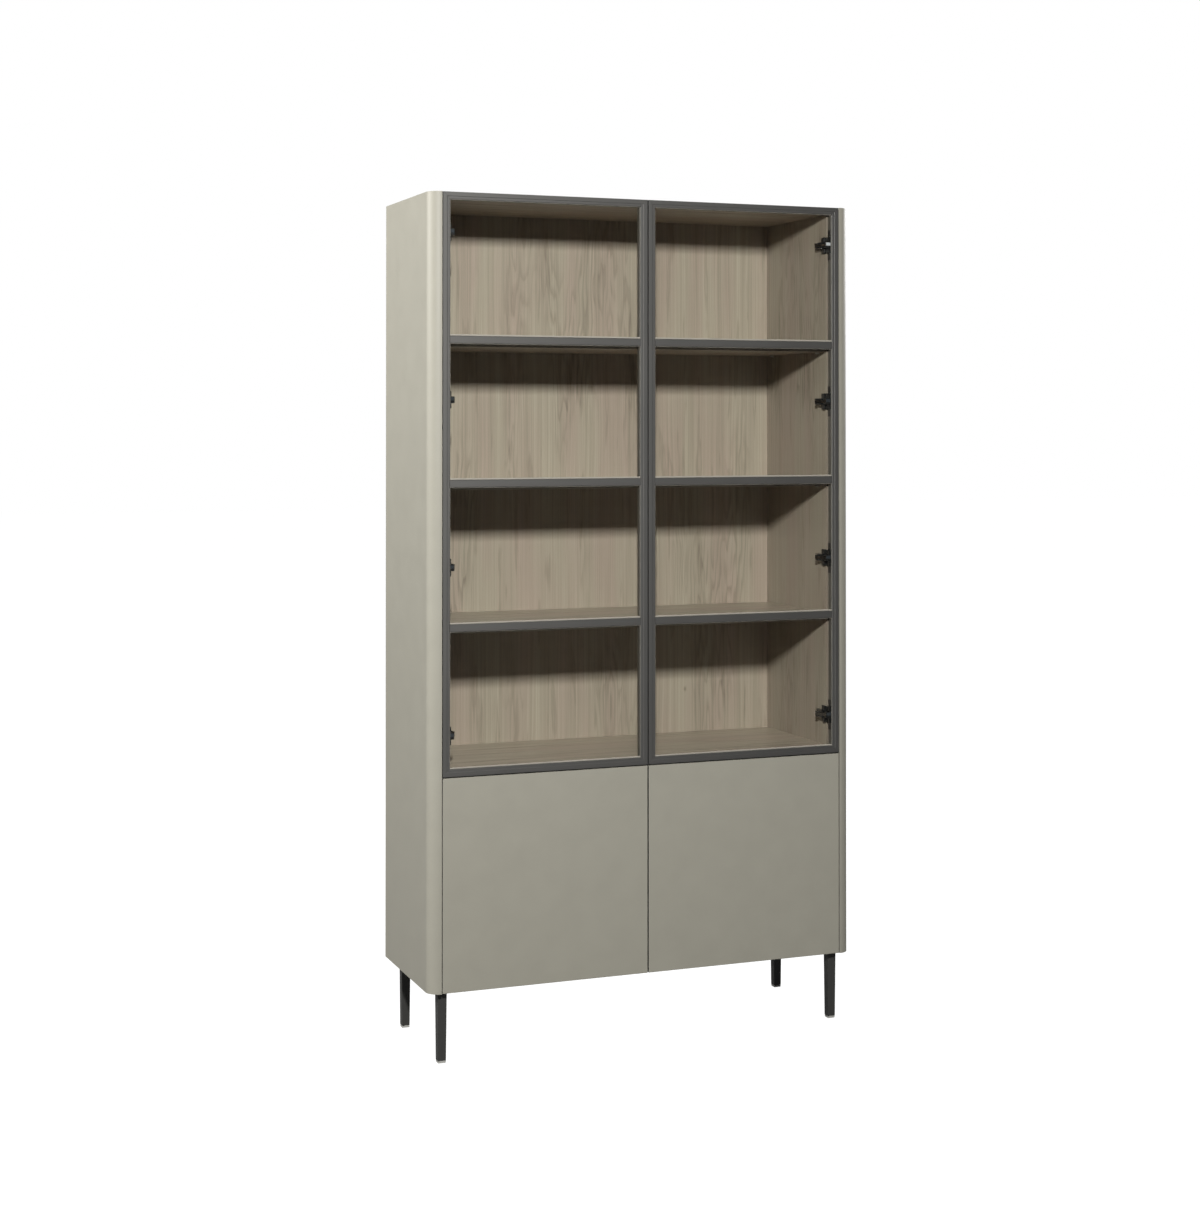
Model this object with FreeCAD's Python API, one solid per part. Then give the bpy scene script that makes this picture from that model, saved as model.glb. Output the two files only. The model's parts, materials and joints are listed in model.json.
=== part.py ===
import FreeCAD, Part
import math
import os

from FreeCAD import Vector

# Display bookcase: a glazed upper carcass stacked on a closed lower carcass, on four legs.
# Millimetres. X points right, Y points back, Z points up. The origin is the middle of the
# floor area, at the underside of the glides. The doors face -Y.

# ---- Overall sizes
overall_width = 1080.0
overall_depth = 375.0
overall_height = 2000.0
clear_under_body = 165.0
lower_carcass_height = 492.0

# ---- Boards
side_panel_thickness = 30.0
front_edge_radius = 30.0
inner_side_thickness = 22.0
board_thickness = 16.0
shelf_thickness = 18.0
back_thickness = 8.0
back_recess = 6.0
shelf_side_clearance = 1.0
shelf_front_setback = 3.0
shelf_back_clearance = 1.0
shelf_drop_below_bar = 6.0

# ---- Doors
door_thickness = 22.0
door_side_gap = 2.0
door_centre_gap = 3.0
door_row_gap = 3.0
door_end_gap = 0.5
door_back_gap = 2.0
panel_edge_chamfer = 0.8

# ---- Glazed door frame: an extruded profile, mitred at the corners
frame_face_width = 17.0
frame_wall = 1.8
frame_bevel = 1.0
frame_step = 0.8
frame_step_width = 6.5
glass_thickness = 4.0
glass_setback = 4.0
glass_rebate = 6.0
glass_clearance = 0.3
glazing_bar_count = 3
rear_bar_thickness = 6.0
rear_bar_width = 12.0

# ---- Concealed hinge, in plan. p runs inwards from the door's outer edge, q runs back from
# its face. The door turns about its own front outer edge, p = q = 0. The arm's pivot, the
# cup's pivot and the knuckle where the two links meet make a parallelogram with that edge.
arm_pivot_p = 28.5
arm_pivot_q = 31.0
cup_pivot_p = 11.0
cup_pivot_q = 14.5
crank_elbow_p = 24.0
link_pin_radius = 1.5
link_pin_clearance = 0.08
link_half_width = 3.0
crank_half_height = 3.6
rocker_inner = 4.0
rocker_outer = 6.2
arm_half_height = 8.0
arm_cheek = 1.5
arm_stub_inner = 3.9
arm_depth = 11.0
arm_front_q = 27.5
arm_back_q = 70.0
arm_web_front_q = 40.0
hinge_plate_thickness = 3.0
hinge_plate_front_q = 25.0
hinge_plate_back_q = 72.0
hinge_wing_front_q = 25.0
hinge_wing_back_q = 47.0
hinge_wing_half_height = 20.0
hinge_screw_offset = 14.0
hinge_screw_radius = 1.8
hinge_screw_head_radius = 3.4
hinge_screw_head_height = 1.6
hinge_screw_length = 16.0
cup_edge_p = 4.0
cup_front_q = 9.0
cup_back_setback = 0.5
cup_wall = 1.5
cup_window_half_height = 4.2
cup_lug_reach = 4.0
cup_tab_half_height = 37.0
frame_cup_inner_p = 30.0
frame_cup_half_height = 7.5
frame_cup_tab_thickness = 1.2
frame_cup_collar_front_q = 13.0
frame_cup_collar_half_height = 19.5
frame_cup_collar_thickness = 3.5
panel_cup_inner_p = 39.0
panel_cup_half_height = 18.0
panel_flange_thickness = 1.2
panel_flange_margin = 2.0
cup_pocket_clearance = 0.2
hinge_end_distance = 91.5
upper_hinge_count = 4
lower_hinge_count = 2

# ---- Push latches, bored into the front edges of the two top boards
latch_from_middle = 60.0
latch_sleeve_radius = 5.0
latch_sleeve_length = 48.0
latch_collar_radius = 6.5
latch_collar_thickness = 1.0
latch_fit = 0.05
plunger_radius = 3.0
plunger_fit = 0.1
plunger_length = 42.0
plunger_door_clearance = 0.3

# ---- Hardware inside the carcasses
shelf_pin_radius = 2.5
shelf_pin_fit = 0.05
shelf_pin_length = 20.0
shelf_pin_depth = 10.0
shelf_pin_inset = 40.0
dowel_radius = 4.0
dowel_length = 24.0
dowel_depth_in_board = 10.0
dowel_inset = 62.0
dowel_fit = 0.05
connector_radius = 3.0
connector_head_radius = 6.0
connector_head_height = 2.0
connector_length = 26.0
connector_from_lining = 42.0
connector_from_centre_line = 110.0

# ---- Legs: tapered square tubes, welded to plates that are let into the underside
leg_top_size = 22.0
leg_foot_size = 19.0
leg_wall = 1.5
leg_side_inset = 39.0
leg_front_inset = 37.0
leg_plate_size = 50.0
leg_plate_edge_inset = 1.5
leg_plate_thickness = 3.0
leg_plate_fit = 0.3
leg_screw_offset = 19.0
leg_screw_radius = 2.0
leg_screw_length = 13.0
leg_screw_head_radius = 3.8
leg_screw_head_height = 1.6
glide_height = 5.0
glide_margin = 0.5
glide_plug = 8.0
glide_plug_fit = 0.1

# ---- Small round parts are cut as prisms with this many flats
fastener_sides = 6
hinge_pin_sides = 8
link_end_steps = 2

# ---- Levels and planes that follow from the sizes above
half_width = overall_width / 2
front_y = -overall_depth / 2
rear_y = overall_depth / 2
body_bottom_z = clear_under_body
split_z = body_bottom_z + lower_carcass_height
opening_half = half_width - side_panel_thickness
inner_face_x = opening_half - inner_side_thickness
carcass_front_y = front_y + door_thickness + door_back_gap
back_panel_front_y = rear_y - back_recess - back_thickness
door_edge_x = opening_half - door_side_gap
upper_door_bottom_z = split_z + door_row_gap / 2
upper_door_top_z = overall_height - door_end_gap
lower_door_bottom_z = body_bottom_z + door_end_gap
lower_door_top_z = split_z - door_row_gap / 2
knuckle_p = arm_pivot_p + cup_pivot_p
knuckle_q = arm_pivot_q + cup_pivot_q
wall_face_p = door_edge_x - inner_face_x
shelf_pin_drop = shelf_pin_radius * math.cos(math.pi / fastener_sides)


# ---- Small tools

def block(x0, x1, y0, y1, z0, z1):
    """A box between two corners, given in any order."""
    low = Vector(min(x0, x1), min(y0, y1), min(z0, z1))
    return Part.makeBox(abs(x1 - x0), abs(y1 - y0), abs(z1 - z0), low)


def prism(points, direction):
    """A closed outline of 3D points, pushed along a vector."""
    outline = Part.makePolygon(points + [points[0]])
    return Part.Face(outline).extrude(direction)


def ring(radius, centre, direction, sides):
    """A regular outline about a centre, with its corners on the radius."""
    reference = Vector(0, 1, 0) if abs(direction.x) > 0.5 else Vector(1, 0, 0)
    across = direction.cross(reference)
    up = direction.cross(across)
    corners = []
    for index in range(sides):
        turn = 2 * math.pi * (index + 0.5) / sides
        corners.append(centre + across * (radius * math.cos(turn)) + up * (radius * math.sin(turn)))
    return Part.makePolygon(corners + [corners[0]])


def rod(radius, start, direction, length, sides=fastener_sides):
    """A small bar with flats, from a start point along a unit direction."""
    return Part.Face(ring(radius, start, direction, sides)).extrude(direction * length)


def bore_radius(pin_radius, clearance, sides):
    """The corner radius of a bore whose flats clear a turning pin."""
    return (pin_radius + clearance) / math.cos(math.pi / sides)


def plan_prism(points, z0, z1):
    """An outline in the hinge's plan, p and q, pushed up from z0 to z1, right-hand side."""
    corners = [Vector(door_edge_x - p, front_y + q, z0) for p, q in points]
    return prism(corners, Vector(0, 0, z1 - z0))


def plan_block(p0, p1, q0, q1, z0, z1):
    """A box in the hinge's plan, right-hand side."""
    return block(door_edge_x - p0, door_edge_x - p1, front_y + q0, front_y + q1, z0, z1)


def hinge_pin(p, q, z0, z1):
    """An upright hinge pin in plan, right-hand side."""
    start = Vector(door_edge_x - p, front_y + q, z0)
    return rod(link_pin_radius, start, Vector(0, 0, 1), z1 - z0, hinge_pin_sides)


def hinge_bore(p, q, half_height):
    """The bore in which a hinge pin turns, a little longer than its link is high."""
    radius = bore_radius(link_pin_radius, link_pin_clearance, hinge_pin_sides)
    start = Vector(door_edge_x - p, front_y + q, -half_height - 1)
    return rod(radius, start, Vector(0, 0, 1), 2 * half_height + 2, hinge_pin_sides)


def straight_link(start, end, z0, z1):
    """A straight link with rounded ends, between two pivots in plan."""
    heading = math.atan2(end[1] - start[1], end[0] - start[0])
    corners = []
    for pivot, turn in ((end, heading - math.pi / 2), (start, heading + math.pi / 2)):
        for step in range(link_end_steps + 1):
            angle = turn + math.pi * step / link_end_steps
            corners.append((pivot[0] + link_half_width * math.cos(angle),
                            pivot[1] + link_half_width * math.sin(angle)))
    return plan_prism(corners, z0, z1)


def to_side(shape, side):
    """The right-hand shape itself, or its mirror image for the left-hand side."""
    if side > 0:
        return shape.copy()
    return shape.mirror(Vector(0, 0, 0), Vector(1, 0, 0))


def lifted(shape, height):
    """A copy of a shape, moved up."""
    copy = shape.copy()
    copy.translate(Vector(0, 0, height))
    return copy


def export(name, shapes):
    """One STEP file for one sub-part, which may be a group of like pieces."""
    pieces = shapes if isinstance(shapes, list) else [shapes]
    whole = pieces[0] if len(pieces) == 1 else Part.makeCompound(pieces)
    whole.exportStep("parts/" + name + ".step")


def spaced(first, last, count):
    """Evenly spaced values from first to last."""
    step = (last - first) / (count - 1)
    return [first + step * index for index in range(count)]


# ---- Where the hinges, bars, shelves, pins and dowels sit

def door_hinge_heights(bottom_z, top_z, count):
    """Hinge centres of one door, the end ones at the same distance from both ends."""
    return spaced(bottom_z + hinge_end_distance, top_z - hinge_end_distance, count)


def glazing_bar_bottoms():
    """The undersides of the glazing bars, which divide the glass into equal panes."""
    clear = upper_door_top_z - upper_door_bottom_z - 2 * frame_face_width
    pane = (clear - glazing_bar_count * frame_face_width) / (glazing_bar_count + 1)
    first = upper_door_bottom_z + frame_face_width + pane
    return [first + index * (pane + frame_face_width) for index in range(glazing_bar_count)]


def shelf_bottoms():
    """Undersides of the three upper shelves, just behind the bars, and of the lower one."""
    upper = []
    for bar_bottom in glazing_bar_bottoms():
        shelf_top = bar_bottom + frame_face_width - shelf_drop_below_bar
        upper.append(shelf_top - shelf_thickness)
    lower = (body_bottom_z + split_z - shelf_thickness) / 2
    return upper, lower


def shelf_pin_places():
    """Depths of the two pins that carry each end of a shelf."""
    return [carcass_front_y + shelf_pin_inset, back_panel_front_y - shelf_pin_inset]


def dowel_places():
    """Depths of the two dowels in each board joint."""
    return [carcass_front_y + dowel_inset, back_panel_front_y - dowel_inset]


def leg_plate_centre(x, y):
    """Plan position of the plate on the leg centred at x, y. It stays behind the doors."""
    reach = -carcass_front_y - leg_plate_edge_inset - leg_plate_size / 2
    return x, math.copysign(reach, y)


def leg_centres():
    """Plan positions of the four legs, named by corner."""
    x = half_width - leg_side_inset
    y = overall_depth / 2 - leg_front_inset
    return {
        "front_left": (-x, -y),
        "front_right": (x, -y),
        "rear_left": (-x, y),
        "rear_right": (x, y),
    }


upper_hinges = door_hinge_heights(upper_door_bottom_z, upper_door_top_z, upper_hinge_count)
lower_hinges = door_hinge_heights(lower_door_bottom_z, lower_door_top_z, lower_hinge_count)
upper_shelves, lower_shelf_bottom = shelf_bottoms()


# ---- Carcass boards

def side_panel(side, bottom_z, top_z):
    """A thick outer side with a quarter-round front edge, as tall as its carcass."""
    radius = min(front_edge_radius, side_panel_thickness)
    outer_x = half_width
    inner_x = opening_half
    start = Vector(outer_x, front_y + radius, bottom_z)
    middle_turn = math.sqrt(0.5) * radius
    middle = Vector(outer_x - radius + middle_turn, front_y + radius - middle_turn, bottom_z)
    end = Vector(outer_x - radius, front_y, bottom_z)
    edges = [Part.Arc(start, middle, end).toShape()]
    if end.x - inner_x > 1e-6:
        edges.append(Part.makeLine(end, Vector(inner_x, front_y, bottom_z)))
    edges.append(Part.makeLine(Vector(inner_x, front_y, bottom_z), Vector(inner_x, rear_y, bottom_z)))
    edges.append(Part.makeLine(Vector(inner_x, rear_y, bottom_z), Vector(outer_x, rear_y, bottom_z)))
    edges.append(Part.makeLine(Vector(outer_x, rear_y, bottom_z), start))
    panel = Part.Face(Part.Wire(edges)).extrude(Vector(0, 0, top_z - bottom_z))
    return to_side(panel, side)


def inner_side(side, bottom_z, top_z, shelf_levels, hinge_heights):
    """The board that lines an outer side. The doors close in front of its edge."""
    board = block(inner_face_x, opening_half, carcass_front_y, back_panel_front_y, bottom_z, top_z)
    holes = []
    for level in shelf_levels:
        for y in shelf_pin_places():
            start = Vector(inner_face_x - 1, y, level - shelf_pin_drop)
            holes.append(rod(shelf_pin_radius + shelf_pin_fit, start, Vector(1, 0, 0), shelf_pin_depth + 1))
    for height in hinge_heights:
        for offset in (-hinge_screw_offset, hinge_screw_offset):
            holes.append(hinge_screw_hole(height + offset))
    for y in dowel_places():
        x = opening_half - inner_side_thickness / 2
        depth = dowel_length - dowel_depth_in_board
        low = Vector(x, y, bottom_z - 1)
        high = Vector(x, y, top_z - depth)
        holes.append(rod(dowel_radius + dowel_fit, low, Vector(0, 0, 1), depth + 1))
        holes.append(rod(dowel_radius + dowel_fit, high, Vector(0, 0, 1), depth + 1))
    return to_side(board.cut(holes), side)


def flat_board(bottom_z):
    """A top or bottom board between the outer sides, bored for the dowels beside it."""
    return block(-opening_half, opening_half, carcass_front_y, back_panel_front_y,
                 bottom_z, bottom_z + board_thickness)


def board_dowel_holes(bottom_z, from_below):
    """Blind holes for the dowels of both inner sides, in one board."""
    holes = []
    radius = dowel_radius + dowel_fit
    for side in (-1, 1):
        for y in dowel_places():
            x = side * (opening_half - inner_side_thickness / 2)
            z = bottom_z - 1 if from_below else bottom_z + board_thickness - dowel_depth_in_board
            holes.append(rod(radius, Vector(x, y, z), Vector(0, 0, 1), dowel_depth_in_board + 1))
    return holes


def latch_holes(board_bottom_z):
    """Bores for the two push latches in a top board's front edge."""
    z = board_bottom_z + board_thickness / 2
    radius = latch_sleeve_radius + latch_fit
    holes = []
    for side in (-1, 1):
        start = Vector(side * latch_from_middle, carcass_front_y - 1, z)
        holes.append(rod(radius, start, Vector(0, 1, 0), latch_sleeve_length + 1))
    return holes


def connector_places():
    """Plan positions of the four screws that hold the carcasses together."""
    places = []
    reach = inner_face_x - connector_from_lining
    for x in (-reach, reach):
        for y in (-connector_from_centre_line, connector_from_centre_line):
            places.append((x, y))
    return places


def connector_holes(radius, z0, z1):
    """Bores for the connecting screws between two levels."""
    return [rod(radius, Vector(x, y, z0), Vector(0, 0, 1), z1 - z0) for x, y in connector_places()]


def leg_cuts():
    """Pockets and screw holes for the leg plates, on the underside of the body."""
    cuts = []
    reach = leg_plate_size / 2 + leg_plate_fit
    for x, y in leg_centres().values():
        plate_x, plate_y = leg_plate_centre(x, y)
        cuts.append(block(plate_x - reach, plate_x + reach, plate_y - reach, plate_y + reach,
                          body_bottom_z - 1, body_bottom_z + leg_plate_thickness))
        for sx, sy in leg_screw_places(x, y):
            start = Vector(sx, sy, body_bottom_z - 1)
            cuts.append(rod(leg_screw_radius, start, Vector(0, 0, 1), leg_screw_length + 1))
    return cuts


def back_panel(bottom_z, top_z):
    """A thin back, set in from the rear edges of the outer sides."""
    return block(-opening_half, opening_half, back_panel_front_y, back_panel_front_y + back_thickness,
                 bottom_z, top_z)


def shelf(bottom_z):
    """A loose shelf on four pins."""
    half = inner_face_x - shelf_side_clearance
    return block(-half, half, carcass_front_y + shelf_front_setback,
                 back_panel_front_y - shelf_back_clearance, bottom_z, bottom_z + shelf_thickness)


# ---- Hinge pieces, right-hand, at height zero

def hinge_screw_hole(height):
    """The blind hole of one hinge screw in the inner side."""
    q = (hinge_wing_front_q + hinge_wing_back_q) / 2
    start = Vector(inner_face_x - 1, front_y + q, height)
    return rod(hinge_screw_radius, start, Vector(1, 0, 0), hinge_screw_length + 1)


def hinge_plate():
    """The winged plate that is screwed to the inner side."""
    face = wall_face_p
    top = wall_face_p + hinge_plate_thickness
    body = plan_block(face, top, hinge_plate_front_q, hinge_plate_back_q,
                      -arm_half_height, arm_half_height)
    wings = plan_block(face, top, hinge_wing_front_q, hinge_wing_back_q,
                       -hinge_wing_half_height, hinge_wing_half_height)
    plate = body.fuse(wings).removeSplitter()
    q = (hinge_wing_front_q + hinge_wing_back_q) / 2
    holes = []
    for offset in (-hinge_screw_offset, hinge_screw_offset):
        start = Vector(door_edge_x - top - 1, front_y + q, offset)
        holes.append(rod(hinge_screw_radius, start, Vector(1, 0, 0), hinge_plate_thickness + 2))
    return plate.cut(holes)


def hinge_screw(offset):
    """One screw of a hinge plate, head on the plate."""
    q = (hinge_wing_front_q + hinge_wing_back_q) / 2
    seat_x = door_edge_x - wall_face_p - hinge_plate_thickness
    head_start = Vector(seat_x - hinge_screw_head_height, front_y + q, offset)
    head = rod(hinge_screw_head_radius, head_start, Vector(1, 0, 0), hinge_screw_head_height)
    shank_length = hinge_plate_thickness + hinge_screw_length
    shank = rod(hinge_screw_radius, Vector(seat_x, front_y + q, offset), Vector(1, 0, 0), shank_length)
    return head.fuse(shank).removeSplitter()


def hinge_arm():
    """The channel on the plate: two cheeks, a web behind, and the two stub pins."""
    base = wall_face_p + hinge_plate_thickness
    arm = plan_block(base, base + arm_cheek, arm_web_front_q, arm_back_q,
                     -arm_half_height, arm_half_height)
    pieces = []
    for sign in (-1, 1):
        outer = sign * arm_half_height
        inner = sign * (arm_half_height - arm_cheek)
        profile = [
            (base, arm_front_q),
            (base + arm_depth, arm_front_q),
            (base + arm_depth, arm_web_front_q),
            (base + arm_depth / 2, arm_back_q),
            (base, arm_back_q),
        ]
        pieces.append(plan_prism(profile, min(outer, inner), max(outer, inner)))
        stub_end = sign * arm_stub_inner
        pieces.append(hinge_pin(arm_pivot_p, arm_pivot_q, min(inner, stub_end), max(inner, stub_end)))
    return arm.fuse(pieces).removeSplitter()


def hinge_rocker():
    """The short fork between the arm and the knuckle, with the knuckle's pin."""
    arm_pivot = (arm_pivot_p, arm_pivot_q)
    knuckle = (knuckle_p, knuckle_q)
    upper = straight_link(arm_pivot, knuckle, rocker_inner, rocker_outer)
    lower = straight_link(arm_pivot, knuckle, -rocker_outer, -rocker_inner)
    pin = hinge_pin(knuckle_p, knuckle_q, -rocker_outer, rocker_outer)
    bore = hinge_bore(arm_pivot_p, arm_pivot_q, rocker_outer)
    return upper.fuse([lower, pin]).cut(bore).removeSplitter()


def hinge_crank():
    """The cranked link between the cup and the knuckle. It goes round the inner side's edge."""
    cup_pivot = (cup_pivot_p, cup_pivot_q)
    elbow = (crank_elbow_p, cup_pivot_q)
    knuckle = (knuckle_p, knuckle_q)
    first = straight_link(cup_pivot, elbow, -crank_half_height, crank_half_height)
    second = straight_link(elbow, knuckle, -crank_half_height, crank_half_height)
    bores = [hinge_bore(p, q, crank_half_height) for p, q in (cup_pivot, knuckle)]
    return first.fuse(second).cut(bores).removeSplitter()


def cup_body(inner_p, half_height):
    """A hinge cup: a box let into the door, open at the back, with its pivot pin."""
    back_q = door_thickness - cup_back_setback
    inside = half_height - cup_wall
    shell = plan_block(cup_edge_p, inner_p, cup_front_q, back_q, -half_height, half_height)
    hollow = plan_block(cup_edge_p + cup_wall, inner_p - cup_wall, cup_front_q + cup_wall,
                        back_q + 1, -inside, inside)
    window = plan_block(inner_p - cup_wall - 1, inner_p + 1, cup_front_q + cup_wall,
                        back_q + 1, -cup_window_half_height, cup_window_half_height)
    pieces = []
    for sign in (-1, 1):
        pieces.append(plan_block(cup_edge_p + cup_wall, cup_pivot_p + cup_lug_reach,
                                 cup_front_q + cup_wall, cup_pivot_q + cup_lug_reach,
                                 sign * cup_window_half_height, sign * inside))
    pin = hinge_pin(cup_pivot_p, cup_pivot_q, -cup_window_half_height, cup_window_half_height)
    return shell.cut([hollow, window]).fuse(pieces + [pin]).removeSplitter()


def frame_cup():
    """The small cup of a glazed door, with a collar and two tabs on the stile's inner face."""
    back_q = door_thickness - cup_back_setback
    near = frame_cup_half_height - cup_wall
    plates = []
    for sign in (-1, 1):
        plates.append(plan_block(frame_face_width, frame_face_width + frame_cup_tab_thickness,
                                 cup_front_q, back_q, sign * near, sign * cup_tab_half_height))
        plates.append(plan_block(frame_face_width, frame_face_width + frame_cup_collar_thickness,
                                 frame_cup_collar_front_q, back_q,
                                 sign * near, sign * frame_cup_collar_half_height))
    return cup_body(frame_cup_inner_p, frame_cup_half_height).fuse(plates).removeSplitter()


def panel_cup():
    """The cup of a solid door, with a flange on the door's rear face."""
    low_q = door_thickness - cup_back_setback - cup_wall
    low_p = cup_edge_p + panel_flange_margin
    high_p = panel_cup_inner_p - panel_flange_margin
    near = panel_cup_half_height - cup_wall
    flange = []
    for sign in (-1, 1):
        flange.append(plan_block(low_p, high_p, door_thickness, door_thickness + panel_flange_thickness,
                                 sign * near, sign * cup_tab_half_height))
        flange.append(plan_block(low_p, high_p, low_q, door_thickness,
                                 sign * near, sign * panel_cup_half_height))
    return cup_body(panel_cup_inner_p, panel_cup_half_height).fuse(flange).removeSplitter()


def cup_pocket(inner_p, half_height):
    """The room that a cup needs in a door."""
    gap = cup_pocket_clearance
    return plan_block(cup_edge_p - gap, inner_p + gap, cup_front_q - gap, door_thickness + 1,
                      -half_height - gap, half_height + gap)


def at_heights(shape, side, heights):
    """Copies of a right-hand piece at the given heights on one side."""
    return [lifted(to_side(shape, side), height) for height in heights]


# ---- Doors

def frame_outline():
    """The frame's section: a hollow bar, stepped in front, with a rebate for the glass.

    Each point is (across, back), from the door's outer edge and its face."""
    glass_back = glass_setback + glass_thickness + glass_clearance
    glass_front = glass_setback - glass_clearance
    rebate = frame_face_width - glass_rebate - glass_clearance
    step_edge = frame_face_width - frame_step_width
    return [
        (0, 0),
        (step_edge - frame_step, 0),
        (step_edge, frame_step),
        (frame_face_width - frame_bevel, frame_step),
        (frame_face_width, frame_step + frame_bevel),
        (frame_face_width, glass_front),
        (rebate, glass_front),
        (rebate, glass_back),
        (frame_face_width, glass_back),
        (frame_face_width, door_thickness - frame_bevel),
        (frame_face_width - frame_bevel, door_thickness),
        (0, door_thickness),
    ]


def frame_hollow():
    """The L-shaped chamber inside the frame's section."""
    glass_back = glass_setback + glass_thickness + glass_clearance
    rebate = frame_face_width - glass_rebate - glass_clearance
    return [
        (frame_wall, frame_step + frame_wall),
        (rebate - frame_wall, frame_step + frame_wall),
        (rebate - frame_wall, glass_back + frame_wall),
        (frame_face_width - frame_wall, glass_back + frame_wall),
        (frame_face_width - frame_wall, door_thickness - frame_wall),
        (frame_wall, door_thickness - frame_wall),
    ]


def stile(outer_edge_x, inwards):
    """An upright frame member with mitred ends. inwards is +1 or -1 along X."""
    height = upper_door_top_z - upper_door_bottom_z

    def swept(section):
        points = [Vector(outer_edge_x + inwards * across, front_y + back, upper_door_bottom_z)
                  for across, back in section]
        return prism(points, Vector(0, 0, height))

    bar = swept(frame_outline()).cut(swept(frame_hollow()))
    inner_x = outer_edge_x + inwards * frame_face_width
    mitre = prism([
        Vector(outer_edge_x, front_y, upper_door_bottom_z),
        Vector(inner_x, front_y, upper_door_bottom_z + frame_face_width),
        Vector(inner_x, front_y, upper_door_top_z - frame_face_width),
        Vector(outer_edge_x, front_y, upper_door_top_z),
    ], Vector(0, door_thickness, 0))
    return bar.common(mitre)


def rail(left_x, right_x, outer_edge_z, inwards):
    """A level frame member with mitred ends. inwards is +1 or -1 along Z."""

    def swept(section):
        points = [Vector(left_x, front_y + back, outer_edge_z + inwards * across)
                  for across, back in section]
        return prism(points, Vector(right_x - left_x, 0, 0))

    bar = swept(frame_outline()).cut(swept(frame_hollow()))
    inner_z = outer_edge_z + inwards * frame_face_width
    mitre = prism([
        Vector(left_x, front_y, outer_edge_z),
        Vector(left_x + frame_face_width, front_y, inner_z),
        Vector(right_x - frame_face_width, front_y, inner_z),
        Vector(right_x, front_y, outer_edge_z),
    ], Vector(0, door_thickness, 0))
    return bar.common(mitre)


def front_bar(bottom_z, left_x, right_x):
    """A glazing bar on the face of the glass, level with the frame's step and bevelled like it."""
    top_z = bottom_z + frame_face_width
    face_y = front_y + frame_step
    seat_y = front_y + glass_setback
    points = [
        Vector(left_x, seat_y, bottom_z),
        Vector(left_x, face_y + frame_bevel, bottom_z),
        Vector(left_x, face_y, bottom_z + frame_bevel),
        Vector(left_x, face_y, top_z - frame_bevel),
        Vector(left_x, face_y + frame_bevel, top_z),
        Vector(left_x, seat_y, top_z),
    ]
    return prism(points, Vector(right_x - left_x, 0, 0))


def rear_bar(bottom_z, left_x, right_x):
    """The narrower bar behind the glass, opposite a front bar."""
    middle = bottom_z + frame_face_width / 2
    seat_y = front_y + glass_setback + glass_thickness
    return block(left_x, right_x, seat_y, seat_y + rear_bar_thickness,
                 middle - rear_bar_width / 2, middle + rear_bar_width / 2)


def glazed_door(side, name):
    """All pieces of one glazed door, exported under its name."""
    outer_x = side * door_edge_x
    free_x = side * door_centre_gap / 2
    left_x = min(outer_x, free_x)
    right_x = max(outer_x, free_x)
    pocket = to_side(cup_pocket(frame_cup_inner_p, frame_cup_half_height), side)
    hinge_stile = stile(outer_x, -side).cut([lifted(pocket, height) for height in upper_hinges])
    export(name + "_hinge_stile", hinge_stile)
    export(name + "_free_stile", stile(free_x, side))
    export(name + "_rails", [
        rail(left_x, right_x, upper_door_top_z, -1),
        rail(left_x, right_x, upper_door_bottom_z, 1),
    ])
    bars = []
    for bottom_z in glazing_bar_bottoms():
        bars.append(front_bar(bottom_z, left_x + frame_face_width, right_x - frame_face_width))
        bars.append(rear_bar(bottom_z, left_x + frame_face_width, right_x - frame_face_width))
    export(name + "_glazing_bars", bars)
    edge = frame_face_width - glass_rebate
    export(name + "_glass", block(left_x + edge, right_x - edge, front_y + glass_setback,
                                  front_y + glass_setback + glass_thickness,
                                  upper_door_bottom_z + edge, upper_door_top_z - edge))
    export(name + "_hinge_cups", at_heights(frame_cup(), side, upper_hinges))


def solid_door(side, name):
    """A lacquered board door with milled cup pockets, and its cups."""
    outer_x = side * door_edge_x
    free_x = side * door_centre_gap / 2
    board = block(outer_x, free_x, front_y, front_y + door_thickness,
                  lower_door_bottom_z, lower_door_top_z)
    face_edges = [edge for edge in board.Edges
                  if edge.BoundBox.YMax < front_y + 0.001]
    board = board.makeChamfer(panel_edge_chamfer, face_edges)
    pocket = to_side(cup_pocket(panel_cup_inner_p, panel_cup_half_height), side)
    board = board.cut([lifted(pocket, height) for height in lower_hinges])
    export(name + "_panel", board)
    export(name + "_hinge_cups", at_heights(panel_cup(), side, lower_hinges))


# ---- Legs, latches and fasteners

def leg_screw_places(x, y):
    """Plan positions of the four screws of the leg centred at x, y."""
    plate_x, plate_y = leg_plate_centre(x, y)
    places = []
    for dx in (-leg_screw_offset, leg_screw_offset):
        for dy in (-leg_screw_offset, leg_screw_offset):
            places.append((plate_x + dx, plate_y + dy))
    return places


def tapered_block(x, y, low_size, high_size, low_z, high_z):
    """An upright square bar about x, y that tapers evenly on all four sides."""
    low = low_size / 2
    high = high_size / 2
    reach = max(low, high)
    seen_from_front = prism([
        Vector(x - low, y - reach, low_z),
        Vector(x + low, y - reach, low_z),
        Vector(x + high, y - reach, high_z),
        Vector(x - high, y - reach, high_z),
    ], Vector(0, 2 * reach, 0))
    seen_from_side = prism([
        Vector(x - reach, y - low, low_z),
        Vector(x - reach, y + low, low_z),
        Vector(x - reach, y + high, high_z),
        Vector(x - reach, y - high, high_z),
    ], Vector(2 * reach, 0, 0))
    return seen_from_front.common(seen_from_side)


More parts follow.
